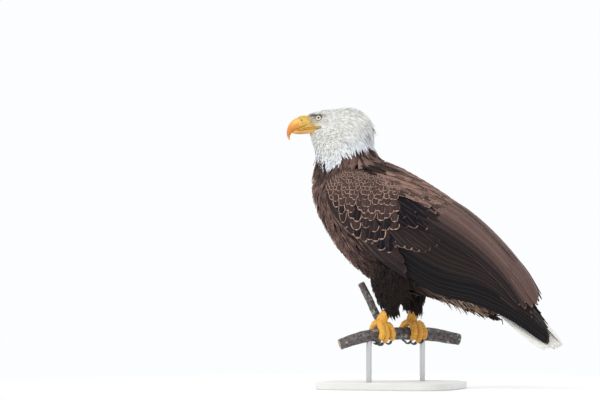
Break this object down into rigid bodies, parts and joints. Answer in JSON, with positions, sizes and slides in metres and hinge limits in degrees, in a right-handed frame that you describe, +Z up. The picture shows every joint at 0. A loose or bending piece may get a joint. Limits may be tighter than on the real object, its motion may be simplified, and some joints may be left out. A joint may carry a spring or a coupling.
{
  "type": "perched bald eagle model",
  "caption": "Life-size still model of an adult bald eagle gripping a cut length of branch, held up by a plain flat stand with short rods.",
  "frame": {"origin": "centre of the flat underside of the stand's base", "axes": "+Z up, -X the way the bird's body faces, -Y the bird's left side"},
  "size_m": [0.6059, 0.2582, 0.6069],
  "materials": {
    "white_plumage": "soft feathers",
    "brown_plumage": "soft feathers with paler edges",
    "dark_quills": "smooth flight feathers",
    "dark_plumage": "short dense feathers",
    "bill_horn": "satin horn",
    "cere_skin": "waxy skin",
    "eye_glass": "clear wet gloss",
    "foot_skin": "scaly skin",
    "talon_horn": "polished horn",
    "bark": "weathered bark with lichen",
    "base_paint": "matt painted board",
    "rod_steel": "brushed"
  },
  "bodies": {
    "root": {"bill_lower": "bill_horn", "bill_upper": "bill_horn", "cere": "cere_skin", "eye_left": "eye_glass", "eye_right": "eye_glass", "head": "white_plumage", "neck": "white_plumage", "perch": "bark", "perch_shoot": "bark", "shank_left": "foot_skin", "shank_right": "foot_skin", "stand_base": "base_paint", "stand_rod_far": "rod_steel", "stand_rod_near": "rod_steel", "tail": "white_plumage", "talon_left_hind": "talon_horn", "talon_left_inner": "talon_horn", "talon_left_middle": "talon_horn", "talon_left_outer": "talon_horn", "talon_right_hind": "talon_horn", "talon_right_inner": "talon_horn", "talon_right_middle": "talon_horn", "talon_right_outer": "talon_horn", "thigh_left": "dark_plumage", "thigh_right": "dark_plumage", "toe_left_hind": "foot_skin", "toe_left_inner": "foot_skin", "toe_left_middle": "foot_skin", "toe_left_outer": "foot_skin", "toe_right_hind": "foot_skin", "toe_right_inner": "foot_skin", "toe_right_middle": "foot_skin", "toe_right_outer": "foot_skin", "trunk": "brown_plumage", "wing_left_coverts": "brown_plumage", "wing_left_primaries": "dark_quills", "wing_left_secondaries": "dark_quills", "wing_right_coverts": "brown_plumage", "wing_right_primaries": "dark_quills", "wing_right_secondaries": "dark_quills"}
  },
  "joints": []
}
